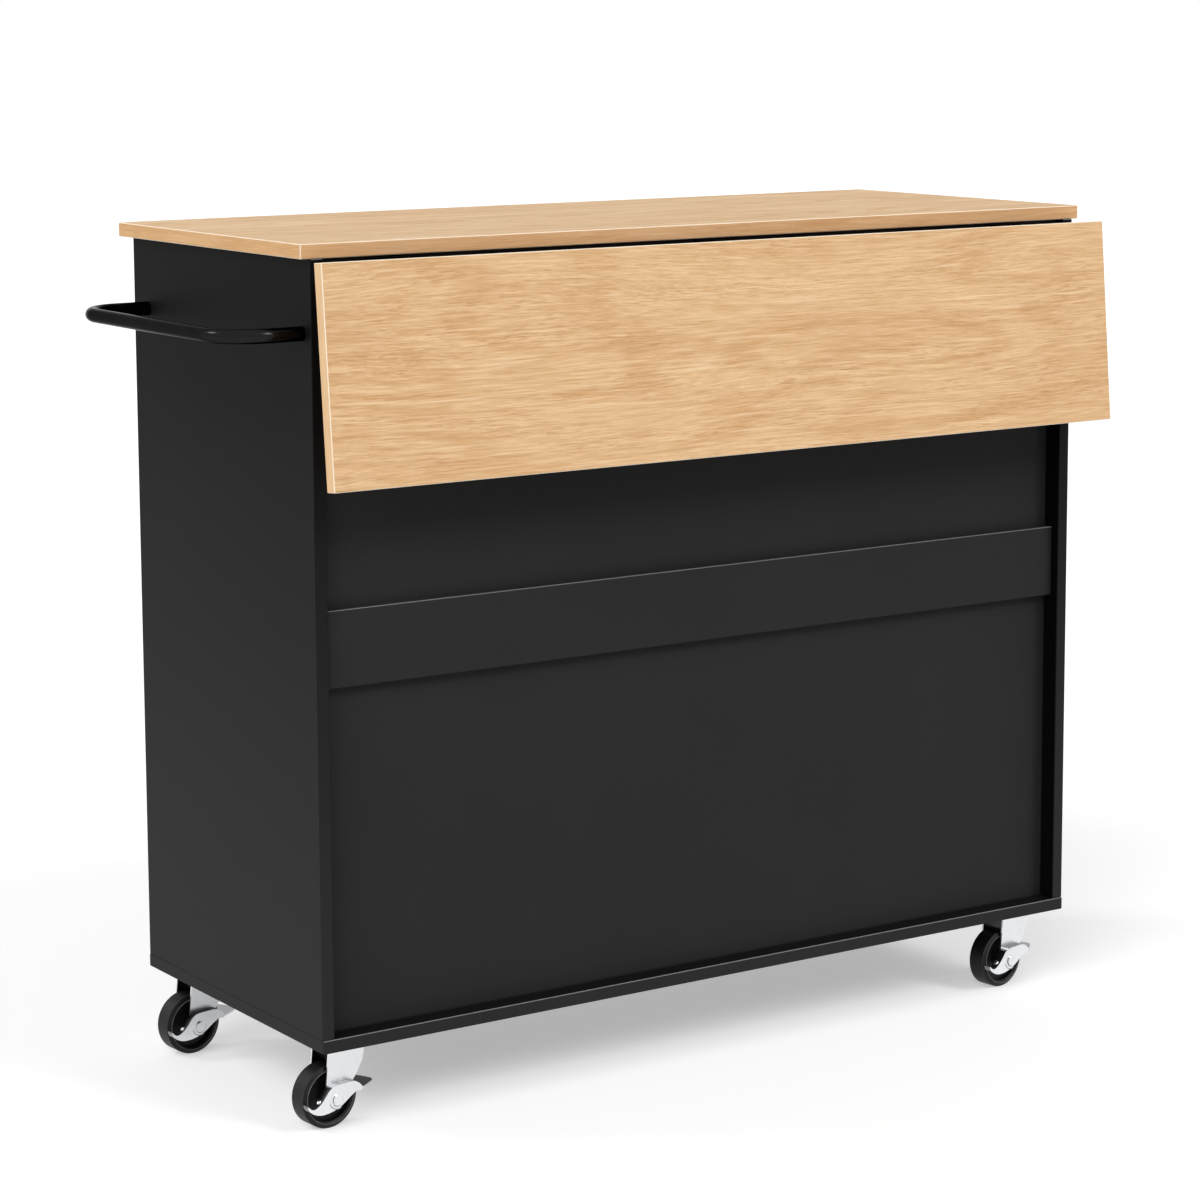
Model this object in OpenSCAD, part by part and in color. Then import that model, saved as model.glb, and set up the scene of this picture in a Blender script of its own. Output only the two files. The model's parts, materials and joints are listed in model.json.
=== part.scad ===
// Drop leaf kitchen island on casters, in millimetres, +Z up.
// The leaf hangs down the back (-Y), the towel bar is on the left end (-X), and the drawers and doors
// open at the front (+Y). The origin is at floor level, under the middle of the whole outline at rest.

/* [Worktop] */
// Height of the worktop's upper face above the floor
total_h = 914; // [880:1:950]
// Length of the worktop
top_len = 1010; // [960:5:1200]
// Depth of the worktop
top_depth = 404; // [390:2:500]
// Thickness of the worktop and of the leaf
top_t = 15; // [14:0.5:20]
// Chamfer on the edges of every board
edge_break = 0.8; // [0.4:0.1:1.2]

/* [Cabinet] */
// How far the worktop overhangs each end panel
end_overhang = 10; // [6:1:20]
// How far the worktop overhangs the cabinet's front
front_overhang = 14; // [8:1:30]
// How far the end panels stand out behind the worktop
back_proud = 2; // [0:0.5:6]
// Thickness of the end panels, partition, shelves and front rail
panel_t = 14; // [12:0.5:19]
// Thickness of the base board
base_t = 14; // [10:0.5:18]
// How far the base board stands out past the end panels
base_lip_end = 0; // [0:0.5:6]
// How far the base board stands out at the back and at the front
base_lip_side = 1; // [0:0.5:8]
// Depth of the recess from the end panels' back edges to the back panels
back_recess = 23; // [18:1:30]
// Depth of the recess from the end panels' back edges to the faces of the rails
rail_recess = 11; // [6:1:13]
// Thickness of the back panels
back_t = 5; // [3:0.5:8]
// Height of the back rail
back_rail_h = 80; // [60:1:120]
// Gap from the base board to the back rail
back_rail_gap = 360; // [300:1:420]
// Height of the hinge rail, under the worktop's back edge
hinge_rail_h = 110; // [105:1:140]
// Depth of the front rail, which lies flat under the worktop
front_rail_d = 60; // [40:1:100]

/* [Drop leaf] */
// Width of the leaf, from its hinged edge to its free edge
leaf_w = 225; // [205:1:280]
// Gap between the worktop and the raised leaf
leaf_gap = 3; // [3:0.5:5]
// How far the hinge pins stand behind the worktop's back edge
leaf_pin_out = 14; // [13:0.5:18]
// How far the hinge pins lie below the worktop's underside
leaf_pin_drop = 14; // [13:0.5:16]
// Angle that the leaf turns from raised to hanging
leaf_swing = 85; // [80:1:87]
// Width of each leaf hinge
leaf_hinge_w = 50; // [40:2:70]
// Distance of the outer leaf hinges from the middle
leaf_hinge_x = 400; // [360:5:430]
// Radius of the leaf hinge pins
leaf_pin_r = 3; // [2.5:0.1:3.5]
// Wall of the leaf hinge knuckles round their pins
leaf_knuckle_wall = 2; // [1.5:0.1:2.5]
// Thickness of the hinge plates, bracket plates and channel webs
plate_t = 2; // [1.5:0.1:2.5]

/* [Leaf stays] */
// Distance of each stay from the middle
stay_x = 300; // [250:5:330]
// How far the stays' pivots lie below the leaf's hinge pins
stay_drop = 70; // [66:1:74]
// Length of each stay, from its pivot to its glide
stay_len = 120; // [112:1:130]
// Thickness of the stays
stay_t = 4; // [3:0.5:5]
// Radius of the stay's pivot end
stay_end_r = 7; // [6:0.5:8]
// Radius of the pivot pins
stay_pin_r = 2.5; // [2:0.1:3]
// Radius of the glides at the stays' tips
glide_r = 5; // [4.5:0.1:5.5]
// Gap between a glide and its channel's web at both ends of the swing
glide_gap = 0.5; // [0.3:0.1:1]
// Depth of the channel's flanges below its web
channel_d = 16; // [13:0.5:17]

/* [Fronts] */
// Thickness of the doors and drawer fronts
front_t = 16; // [15:0.5:19]
// Gap round each door and drawer front
front_gap = 3; // [2:0.25:4]
// Height of each drawer front
drawer_front_h = 150; // [140:1:180]
// Width across the knobs
knob_d = 28; // [20:1:36]
// How far the knobs stand out
knob_out = 24; // [18:1:30]
// Length of each door hinge
door_hinge_l = 60; // [45:1:80]
// Radius of the door hinges' barrels
barrel_r = 4.5; // [4:0.1:5.5]
// Radius of the door hinges' pins
door_pin_r = 2; // [1.5:0.1:2.5]
// Distance of the door hinges from the door's ends
door_hinge_inset = 80; // [60:1:120]

/* [Drawers] */
// Gap from the drawer boxes to the back panels
drawer_back_gap = 28; // [20:1:80]
// Height of the drawer boxes' walls
drawer_h = 106; // [80:1:110]
// Thickness of the drawer boxes' walls
drawer_wall = 12; // [10:0.5:15]
// Thickness of the drawer bottoms
drawer_bottom_t = 4; // [3:0.5:6]
// Space for the runners at each side of a drawer
runner_space = 12.5; // [12:0.5:15]
// Height of the fixed runners
runner_h = 40; // [30:1:45]
// Metal thickness of the runners
runner_wall = 1.5; // [1:0.1:2]
// How much shorter the runners are than the drawer boxes
runner_short = 10; // [5:1:60]

/* [Shelves] */
// Gap from the base board to the shelves
shelf_gap = 316; // [150:2:480]
// How far the shelves stop behind the doors
shelf_setback = 20; // [10:1:60]
// Radius of the shelf pins
shelf_pin_r = 2.5; // [2:0.25:3]

/* [Towel bar] */
// Diameter of the towel bar
bar_d = 15; // [12:0.5:20]
// Distance from the end panel to the bar's centre line
bar_reach = 82; // [60:1:100]
// Distance from the end panel's back edge to the back leg's centre line
bar_back_inset = 19.5; // [18:0.5:30]
// Distance from the end panel's front edge to the front leg's centre line
bar_front_inset = 32; // [18:0.5:60]
// Depth of the bar's centre line below the worktop
bar_drop = 75; // [60:1:120]
// Bend radius of the bar's centre line
bar_bend = 46; // [30:1:55]

/* [Casters] */
// Height of the casters, from the floor to the base board
caster_h = 90; // [88:1:110]
// Diameter of the wheels
wheel_d = 67; // [60:1:70]
// Width of the wheels
wheel_w = 24; // [18:1:26]
// Trail of the wheels behind their swivels
trail = 22; // [18:1:26]
// Distance of the swivels from the base board's ends
caster_inset_x = 45; // [42:1:70]
// Distance of the swivels from the base board's long edges
caster_inset_y = 44; // [42:1:70]
// Angle that the left casters stand turned at
turn_left = 5; // [0:1:15]
// Angle that the right casters stand turned at
turn_right = 8; // [0:1:15]
// Length of the top plates
caster_plate_l = 62; // [56:1:70]
// Width of the top plates
caster_plate_w = 54; // [50:1:60]
// Thickness of the casters' pressed metal
sheet_t = 2.2; // [2:0.1:2.5]
// Radius of the axles
axle_r = 3; // [2.5:0.1:3.5]
// Distance from the fork's cheeks to the outer faces of the brake lever
lever_out = 9; // [7:0.5:11]

/* [Hidden] */
$fn = 48;
fit_gap = 0.01;    // a fixed pin or screw in its hole
run_gap = 0.05;    // a turning pin in its bore
play = 0.3;        // sheet metal that passes sheet metal
clear = 0.5;       // a moving piece beside its guide

SIDES = [["left", -1], ["right", 1]];
ENDS = [["back", -1], ["front", 1]];

// Cabinet frame: x and y are measured from the middle of the worktop
top_under = total_h - top_t;
base_top = caster_h + base_t;
top_back_y = -top_depth / 2;
top_front_y = top_depth / 2;
cab_x = top_len / 2 - end_overhang;
inner_x = cab_x - panel_t;
cab_back_y = top_back_y - back_proud;
cab_front_y = top_front_y - front_overhang;
cab_h = top_under - base_top;
rail_y = cab_back_y + rail_recess;
back_y = cab_back_y + back_recess;
inner_back_y = back_y + back_t;
front_back_y = cab_front_y - front_t;
door_rest_gap = 1;
carcass_front_y = front_back_y - door_rest_gap;
back_rail_z = base_top + back_rail_gap;
shelf_z = base_top + shelf_gap;
back_split_z = back_rail_z + back_rail_h / 2;

// Leaf and stays, in a plane across the hinge pins
pin_y = top_back_y - leaf_pin_out;
pin_z = top_under - leaf_pin_drop;
leaf_near = leaf_pin_out - leaf_gap;
leaf_far = leaf_w - leaf_near;
knuckle_r = leaf_pin_r + leaf_knuckle_wall;
knuckle_w = leaf_hinge_w / 4;
bracket_up = 12;
bracket_down = 34;
leaf_plate_in = 8;
leaf_plate_out = 38;
stay_plate_w = 28;
stay_plate_h = 34;
stay_z = pin_z - stay_drop;
glide_off = plate_t + glide_gap + glide_r;
stay_rest = acos(-(leaf_pin_drop - glide_off + stay_drop * cos(leaf_swing)) / stay_len) - leaf_swing;
stay_raised = acos(-(leaf_pin_drop - glide_off + stay_drop) / stay_len);
glide_near = stay_len * sin(stay_raised);
glide_far = stay_len * sin(stay_rest + leaf_swing) + stay_drop * sin(leaf_swing);
glide_disc_t = 1.5;
channel_wall = 1.5;
channel_in = stay_t + 2 * glide_disc_t + 2 * clear;

// Fronts, drawers and doors
fronts_top_z = top_under - front_gap;
drawer_front_z = fronts_top_z - drawer_front_h;
door_z = base_top + front_gap;
door_h = drawer_front_z - front_gap - door_z;
bay_w = inner_x - panel_t / 2;
front_w = inner_x - front_gap * 1.5;
drawer_w = bay_w - 2 * runner_space;
drawer_low_gap = 13;
drawer_z = drawer_front_z + drawer_low_gap;
drawer_d = front_back_y - inner_back_y - drawer_back_gap;
runner_l = drawer_d - runner_short;
runner_setback = 11;
runner_z = drawer_z + drawer_bottom_t + drawer_h / 2;
runner_y = carcass_front_y - runner_setback - runner_l;
hinge_leaf_t = (front_gap - 2 * play) / 2;
hinge_leaf_d = 28;
door_pin_x = inner_x - front_gap / 2;
door_pin_y = cab_front_y + clear + barrel_r;
door_hinge_zs = [door_z + door_hinge_inset, door_z + door_h - door_hinge_inset - door_hinge_l];
door_knob_x = 40;
door_knob_drop = 70;
shelf_pin_in = 6;
shelf_pin_out = 8;
shelf_pin_inset = 45;
shelf_pin_ys = [inner_back_y + shelf_pin_inset, carcass_front_y - shelf_setback - shelf_pin_inset];

// Towel bar
bar_x = -cab_x - bar_reach;
bar_z = top_under - bar_drop;
bar_ys = [cab_back_y + bar_back_inset, cab_front_y - bar_front_inset];
bar_screw_r = 2.5;
bar_screw_head_r = 5;
bar_screw_head_t = 3;
bar_screw_in = 14;

// Casters, measured from the swivel axis and the axle
base_back_y = cab_back_y - base_lip_side;
base_front_y = cab_front_y + base_lip_side;
base_x = cab_x + base_lip_end;
wheel_r = wheel_d / 2;
plate_sheet = 2.5;
race_t = 3;
fork_top_z = caster_h - plate_sheet - race_t - play;
fork_under_z = fork_top_z - plate_sheet;
cheek_in = wheel_w / 2 + 1.5;
cheek_out = cheek_in + sheet_t;
boss_r = 9;
fork_lead = 18;
fork_back = 4;
king_r = 4;
lever_face = cheek_out + lever_out;
lever_t = 1.5;
pedal_tip = wheel_r + 27;
pedal_dip = 4;
screw_r = 2;
screw_head_r = 4.2;
screw_head_t = 1.2;
plate_corner_r = 5;
caster_screw_inset = 8;
caster_screw_x = caster_plate_l / 2 - caster_screw_inset;
caster_screw_y = caster_plate_w / 2 - caster_screw_inset;
caster_screw_in = 9;

// The part's frame: the middle of the outline at rest
out_left = cab_x + bar_reach + bar_d / 2;
out_right = top_len / 2;
out_back = -pin_y + leaf_far * cos(leaf_swing) + (leaf_pin_drop + top_t) * sin(leaf_swing);
out_front = max(top_front_y, cab_front_y + knob_out);
shift = [(out_left - out_right) / 2, (out_back - out_front) / 2, 0];

SIDE_NODES = ["leaf_stay", "drawer_box", "drawer_bottom", "drawer_front", "drawer_knob", "drawer_slides",
              "door", "door_knob", "door_hinge_leaves", "shelf"];
CASTER_NODES = ["plate", "fork", "wheel", "brake"];

OAK = [0.80, 0.62, 0.40];
CHARCOAL = [0.16, 0.155, 0.155];
BLACK = [0.08, 0.08, 0.08];
ZINC = [0.85, 0.86, 0.88];
BIRCH = [0.86, 0.78, 0.64];

// Shared shapes

// A board from its low corner, with every edge broken
module board(size, at = [0, 0, 0]) {
    c = edge_break;
    translate(at) hull() {
        translate([c, c, 0]) cube([size.x - 2 * c, size.y - 2 * c, size.z]);
        translate([c, 0, c]) cube([size.x - 2 * c, size.y, size.z - 2 * c]);
        translate([0, c, c]) cube([size.x, size.y - 2 * c, size.z - 2 * c]);
    }
}

// A cylinder along X, centred on x = 0
module rod_x(r, l) rotate([0, 90, 0]) cylinder(r = r, h = l, center = true);

// A cylinder along Y, centred on y = 0
module rod_y(r, l) rotate([90, 0, 0]) cylinder(r = r, h = l, center = true);

// Places a shape drawn for the raised leaf, measured from its hinge pins, as the leaf hangs
module on_leaf() translate([0, pin_y, pin_z]) rotate([leaf_swing, 0, 0]) children();

// Places a shape at each leaf hinge
module each_leaf_hinge() for (x = [-leaf_hinge_x, 0, leaf_hinge_x]) translate([x, 0, 0]) children();

// Cabinet

module worktop() color(OAK)
    board([top_len, top_depth, top_t], [-top_len / 2, top_back_y, top_under]);

module end_panel(side) color(CHARCOAL) difference() {
    board([panel_t, cab_front_y - cab_back_y, cab_h],
          [side > 0 ? inner_x : -cab_x, cab_back_y, base_top]);
    shelf_pin_holes(side * inner_x);
    if (side < 0) for (y = bar_ys) translate([-inner_x, y, bar_z]) bar_screw(fit_gap);
}

module base_board() color(CHARCOAL) difference() {
    board([2 * base_x, base_front_y - base_back_y, base_t], [-base_x, base_back_y, caster_h]);
    for (e = [-1, 1], s = [-1, 1]) at_caster(e, s)
        caster_screw_places() cylinder(r = screw_r + fit_gap, h = caster_screw_in);
}

module back_panel(z0, z1) color(CHARCOAL)
    board([2 * inner_x, back_t, z1 - z0], [-inner_x, back_y, z0]);

module rail(z, h) color(CHARCOAL)
    board([2 * inner_x, back_y - rail_y, h], [-inner_x, rail_y, z]);

module front_rail() color(CHARCOAL)
    board([2 * inner_x, front_rail_d, panel_t],
          [-inner_x, carcass_front_y - front_rail_d, top_under - panel_t]);

module partition() color(CHARCOAL) difference() {
    board([panel_t, carcass_front_y - inner_back_y, cab_h], [-panel_t / 2, inner_back_y, base_top]);
    translate([-panel_t, carcass_front_y - front_rail_d, top_under - panel_t])
        cube([2 * panel_t, front_rail_d + 1, panel_t + 1]);
    for (s = [-1, 1]) shelf_pin_holes(s * panel_t / 2);
}

// Shelves

// Places a shape on each shelf pin of the face at x, which looks towards its bay
module at_shelf_pins(x) for (y = shelf_pin_ys) translate([x, y, shelf_z - shelf_pin_r]) children();

module shelf_pin_holes(x) at_shelf_pins(x) rod_x(shelf_pin_r + fit_gap, 2 * shelf_pin_in);

module shelf_pins() color(ZINC) for (s = [-1, 1]) {
    at_shelf_pins(s * (inner_x + (shelf_pin_in - shelf_pin_out) / 2))
        rod_x(shelf_pin_r, shelf_pin_in + shelf_pin_out);
    at_shelf_pins(s * (panel_t / 2 + (shelf_pin_out - shelf_pin_in) / 2))
        rod_x(shelf_pin_r, shelf_pin_in + shelf_pin_out);
}

module shelf(side) color(CHARCOAL)
    board([bay_w - 2 * clear, carcass_front_y - shelf_setback - inner_back_y - clear, panel_t],
          [side > 0 ? panel_t / 2 + clear : clear - inner_x, inner_back_y + clear, shelf_z]);

// Towel bar

module towel_bar() color(BLACK) difference() {
    translate([0, 0, bar_z]) {
        translate([bar_x, (bar_ys[0] + bar_ys[1]) / 2, 0])
            rod_y(bar_d / 2, bar_ys[1] - bar_ys[0] - 2 * bar_bend);
        for (i = [0, 1]) translate([bar_x + bar_bend, bar_ys[i] + (i > 0 ? -1 : 1) * bar_bend, 0]) {
            rotate([0, 0, i > 0 ? 90 : 180]) rotate_extrude(angle = 90)
                translate([bar_bend, 0]) circle(r = bar_d / 2);
            translate([(bar_reach - bar_bend) / 2, (i > 0 ? 1 : -1) * bar_bend, 0])
                rod_x(bar_d / 2, bar_reach - bar_bend);
        }
    }
    for (y = bar_ys) translate([-inner_x, y, bar_z]) bar_screw(fit_gap);
}

// A countersunk screw from the end panel's inner face into the bar, larger by gap for its hole
module bar_screw(gap = 0) rotate([0, -90, 0]) {
    cylinder(r1 = bar_screw_head_r + gap, r2 = bar_screw_r + gap, h = bar_screw_head_t);
    cylinder(r = bar_screw_r + gap, h = panel_t + bar_screw_in + gap);
}

module towel_bar_screws() color(ZINC) for (y = bar_ys) translate([-inner_x, y, bar_z]) bar_screw();

// Drop leaf and its hinges

module drop_leaf() color(OAK) on_leaf()
    board([top_len, leaf_w, top_t], [-top_len / 2, -leaf_far, leaf_pin_drop]);

module leaf_hinge_brackets() color(BLACK) translate([0, pin_y, pin_z]) each_leaf_hinge() {
    arm = rail_y - pin_y - plate_t;
    translate([-leaf_hinge_w / 2, arm, -bracket_down])
        cube([leaf_hinge_w, plate_t, bracket_down + bracket_up]);
    difference() {
        for (s = [-1, 1]) translate([s * (leaf_hinge_w - knuckle_w) / 2, 0, 0]) {
            rod_x(knuckle_r, knuckle_w);
            translate([-knuckle_w / 2, 0, -knuckle_r]) cube([knuckle_w, arm, 2 * knuckle_r]);
        }
        rod_x(leaf_pin_r + fit_gap, leaf_hinge_w + 2);
    }
}

module leaf_hinge_plates() color(BLACK) on_leaf() each_leaf_hinge() {
    knuckle_l = leaf_hinge_w - 2 * knuckle_w - 2 * play;
    translate([-leaf_hinge_w / 2, -leaf_plate_out, leaf_pin_drop - plate_t])
        cube([leaf_hinge_w, leaf_plate_out + leaf_plate_in, plate_t]);
    difference() {
        union() {
            rod_x(knuckle_r, knuckle_l);
            translate([-knuckle_l / 2, -knuckle_r, 0])
                cube([knuckle_l, 2 * knuckle_r, leaf_pin_drop - plate_t]);
        }
        rod_x(leaf_pin_r + run_gap, leaf_hinge_w + 2);
    }
}

// Pins of the leaf's hinges and of the stays' pivots
module leaf_pins() color(BLACK) {
    translate([0, pin_y, pin_z]) each_leaf_hinge() rivet(leaf_pin_r, leaf_hinge_w);
    for (s = [-1, 1]) translate([s * stay_x, pin_y, stay_z])
        rivet(stay_pin_r, stay_t + 2 * play + 2 * plate_t);
}

// A pin along X with a flat head at each end
module rivet(r, l) {
    head_t = 1.2;
    rod_x(r, l + head_t);
    for (s = [-1, 1]) translate([s * (l + head_t) / 2, 0, 0]) rod_x(r + 1.5, head_t);
}

// Leaf stays

module stay_brackets() color(ZINC) for (s = [-1, 1]) translate([s * stay_x, pin_y, stay_z]) {
    arm = rail_y - pin_y - plate_t;
    ear_r = stay_end_r + 1;
    translate([-stay_plate_w / 2, arm, -stay_plate_h / 2]) cube([stay_plate_w, plate_t, stay_plate_h]);
    difference() {
        for (e = [-1, 1]) translate([e * (stay_t / 2 + play + plate_t / 2), 0, 0]) {
            rod_x(ear_r, plate_t);
            translate([-plate_t / 2, 0, -ear_r]) cube([plate_t, arm, 2 * ear_r]);
        }
        rod_x(stay_pin_r + fit_gap, 2 * stay_t + 4 * plate_t);
    }
}

module leaf_stay(side) color(ZINC) translate([side * stay_x, pin_y, stay_z]) rotate([-stay_rest, 0, 0]) {
    tip_r = glide_r - 0.5;
    glide_pin_r = 2;
    difference() {
        union() {
            rod_x(stay_end_r, stay_t);
            translate([-stay_t / 2, -tip_r, -stay_len]) cube([stay_t, 2 * tip_r, stay_len]);
            translate([0, 0, -stay_len]) rod_x(tip_r, stay_t);
        }
        rod_x(stay_pin_r + run_gap, stay_t + 2);
        translate([0, 0, -stay_len]) rod_x(glide_pin_r + fit_gap, stay_t + 2);
    }
    translate([0, 0, -stay_len]) {
        rod_x(glide_pin_r, stay_t + 2 * glide_disc_t);
        for (e = [-1, 1]) translate([e * (stay_t + glide_disc_t) / 2, 0, 0]) rod_x(glide_r, glide_disc_t);
    }
}

// Guide channels under the leaf for the stays' glides
module stay_channels() color(ZINC) on_leaf() for (s = [-1, 1])
    translate([s * stay_x, -glide_far - 2 * glide_r, leaf_pin_drop - plate_t - channel_d]) {
        l = glide_far - glide_near + 4 * glide_r;
        w = channel_in + 2 * channel_wall;
        translate([-w / 2, 0, channel_d]) cube([w, l, plate_t]);
        for (x = [-w / 2, w / 2 - channel_wall])
            translate([x, 0, 0]) cube([channel_wall, l, channel_d + plate_t]);
    }

// Drawers

// Left end of a bay's width, for a bay on the given side
function bay_x(side) = side > 0 ? panel_t / 2 : -inner_x;

module drawer_box(side) color(BIRCH) {
    x = bay_x(side) + runner_space;
    y = front_back_y - drawer_d;
    z = drawer_z + drawer_bottom_t;
    for (dx = [0, drawer_w - drawer_wall])
        board([drawer_wall, drawer_d, drawer_h], [x + dx, y, z]);
    for (dy = [0, drawer_d - drawer_wall])
        board([drawer_w - 2 * drawer_wall, drawer_wall, drawer_h], [x + drawer_wall, y + dy, z]);
}

module drawer_bottom(side) color(BIRCH)
    board([drawer_w, drawer_d, drawer_bottom_t],
          [bay_x(side) + runner_space, front_back_y - drawer_d, drawer_z]);

// Left end of a door's or drawer front's width
function front_x(side) = side > 0 ? front_gap / 2 : front_gap - inner_x;

module drawer_front(side) color(CHARCOAL)
    board([front_w, front_t, drawer_front_h], [front_x(side), cab_front_y - front_t, drawer_front_z]);

// A turned knob that stands out along +Y
module knob() color(BLACK) rotate([-90, 0, 0]) rotate_extrude() {
    head = 9;
    square([knob_d * 0.2, knob_out - 1]);
    square([knob_d * 0.28, 2]);
    translate([0, knob_out - head]) square([knob_d / 2 - 2, head]);
    translate([0, knob_out - head + 2]) square([knob_d / 2, head - 4]);
    for (y = [knob_out - head + 2, knob_out - 2]) translate([knob_d / 2 - 2, y]) circle(r = 2);
}

module drawer_knob(side)
    translate([front_x(side) + front_w / 2, cab_front_y, drawer_front_z + drawer_front_h / 2]) knob();

// A C section along Y that opens towards +X, centred on z = 0
module c_section(d, h, l) {
    cube([runner_wall, l, h]);
    for (z = [0, h - runner_wall]) translate([0, 0, z]) cube([d, l, runner_wall]);
}

// Places a shape at both sides of a bay, with +X pointing into the bay
module at_bay_sides(side) for (m = [0, 1])
    translate([bay_x(side) + m * bay_w, runner_y, runner_z]) mirror([m, 0, 0]) children();

module drawer_runners() color(ZINC) for (s = [-1, 1]) at_bay_sides(s)
    translate([0, 0, -runner_h / 2]) c_section(runner_space - 2 * clear - runner_wall, runner_h, runner_l);

module drawer_slides(side) color(ZINC) at_bay_sides(side) {
    h = runner_h - 2 * runner_wall - 2 * clear;
    translate([runner_space, 0, -h / 2]) mirror([1, 0, 0])
        c_section(runner_space - runner_wall - clear, h, runner_l);
}

// Doors

module door(side) color(CHARCOAL)
    board([front_w, front_t, door_h], [front_x(side), cab_front_y - front_t, door_z]);

module door_knob(side)
    translate([side * door_knob_x, cab_front_y, door_z + door_h - door_knob_drop]) knob();

// Places a shape at each hinge of a door, from the pin's lower end, with +X pointing at the end panel
module at_door_hinges(side) for (z = door_hinge_zs)
    translate([side * door_pin_x, door_pin_y, z]) mirror([side < 0 ? 1 : 0, 0, 0]) children();

// Part of a door hinge: a flat leaf on the given side of the pin, and knuckles at the given heights
module hinge_half(leaf_side, knuckles, bore_r) {
    leaf_y = clear + barrel_r + hinge_leaf_d;
    leaf_x = leaf_side > 0 ? front_gap / 2 - hinge_leaf_t : -front_gap / 2;
    difference() {
        union() {
            translate([leaf_x, -leaf_y, 0]) cube([hinge_leaf_t, hinge_leaf_d, door_hinge_l]);
            for (k = knuckles) translate([0, 0, k[0]]) {
                cylinder(r = barrel_r, h = k[1] - k[0]);
                translate([leaf_x, -clear - barrel_r - 1, 0])
                    cube([hinge_leaf_t, clear + barrel_r + 1, k[1] - k[0]]);
            }
        }
        translate([0, 0, -1]) cylinder(r = bore_r, h = door_hinge_l + 2);
    }
}

third = door_hinge_l / 3;

module door_hinge_frames() color(ZINC) for (s = [-1, 1]) at_door_hinges(s)
    hinge_half(1, [[0, third], [2 * third, door_hinge_l]], door_pin_r + fit_gap);

module door_hinge_leaves(side) color(ZINC) at_door_hinges(side)
    hinge_half(-1, [[third + play, 2 * third - play]], door_pin_r + run_gap);

module door_hinge_pins() color(ZINC) for (s = [-1, 1]) at_door_hinges(s) {
    cylinder(r = door_pin_r, h = door_hinge_l);
    for (z = [-1.5, door_hinge_l]) translate([0, 0, z]) cylinder(r = door_pin_r + 1.2, h = 1.5);
}

// Casters

// Places a caster's shape at its swivel axis and underside of the base board
module at_caster(e, s)
    translate([s * (base_x - caster_inset_x),
               e > 0 ? base_front_y - caster_inset_y : base_back_y + caster_inset_y, caster_h])
        children();

// Places what swivels, as it stands turned
module at_swivel(e, s) at_caster(e, s) rotate([0, 0, s > 0 ? turn_right : turn_left])
    translate([0, 0, -caster_h]) children();

// Places what is centred on the axle
module at_axle(e, s) at_swivel(e, s) translate([-trail, 0, wheel_r]) children();

module caster_screw_places() for (x = [-1, 1], y = [-1, 1])
    translate([x * caster_screw_x, y * caster_screw_y, 0]) children();

// Top plate with its ball race and king pin
module caster_plate(e, s) color(ZINC) at_caster(e, s) {
    r = plate_corner_r;
    difference() {
        union() {
            for (x = [-1, 1], y = [-1, 1])
                translate([x * (caster_plate_l / 2 - r), y * (caster_plate_w / 2 - r), -plate_sheet])
                    cylinder(r = r, h = plate_sheet);
            translate([-caster_plate_l / 2, r - caster_plate_w / 2, -plate_sheet])
                cube([caster_plate_l, caster_plate_w - 2 * r, plate_sheet]);
            translate([r - caster_plate_l / 2, -caster_plate_w / 2, -plate_sheet])
                cube([caster_plate_l - 2 * r, caster_plate_w, plate_sheet]);
        }
        caster_screw_places() translate([0, 0, -plate_sheet - 1])
            cylinder(r = screw_r + fit_gap, h = plate_sheet + 2);
    }
    translate([0, 0, -plate_sheet - race_t]) cylinder(r1 = 15, r2 = 17, h = race_t);
    translate([0, 0, fork_under_z - play - caster_h]) {
        cylinder(r = king_r, h = caster_h - fork_under_z + play - plate_sheet);
        translate([0, 0, -2]) cylinder(r = king_r + 3, h = 2);
    }
}

module caster_screws() color(ZINC) for (e = [-1, 1], s = [-1, 1]) at_caster(e, s)
    caster_screw_places() {
        translate([0, 0, -plate_sheet]) cylinder(r = screw_r, h = plate_sheet + caster_screw_in - 1);
        translate([0, 0, -plate_sheet - screw_head_t])
            cylinder(r1 = screw_head_r - screw_head_t, r2 = screw_head_r, h = screw_head_t);
    }

// Outline of a fork cheek, from the axle: nearly straight on the trailing side, drawn in on the other
module cheek_outline() {
    top = fork_top_z - wheel_r;
    lead = trail + fork_lead;
    circle(r = boss_r);
    polygon([[-boss_r, 0], [-fork_back, top], [lead, top], [lead - 0.5, top * 0.84],
             [lead - 2.5, top * 0.66], [lead - 9, top * 0.43], [lead - 13, top * 0.32],
             [lead - 20, top * 0.16], [boss_r * 0.75, -boss_r * 0.66]]);
}

// Swivel fork: a round crown, a top web and two cheeks, with the axle between the cheeks
module caster_fork(e, s) color(ZINC) {
    difference() {
        union() {
            at_swivel(e, s) {
                translate([0, 0, fork_under_z]) cylinder(r = 18, h = plate_sheet);
                translate([-trail - fork_back, -cheek_out, fork_under_z])
                    cube([trail + fork_back + fork_lead, 2 * cheek_out, plate_sheet]);
            }
            at_axle(e, s) for (y = [-cheek_in, cheek_out]) translate([0, y, 0])
                rotate([90, 0, 0]) linear_extrude(sheet_t) cheek_outline();
        }
        at_swivel(e, s) cylinder(r = king_r + run_gap, h = caster_h);
        at_axle(e, s) rod_y(axle_r + fit_gap, 4 * cheek_out);
    }
    at_axle(e, s) {
        rod_y(axle_r, 2 * lever_face + 1);
        for (y = [-1, 1]) translate([0, y * (lever_face + 1.2), 0]) rod_y(axle_r + 2.5, 1.4);
    }
}

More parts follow.
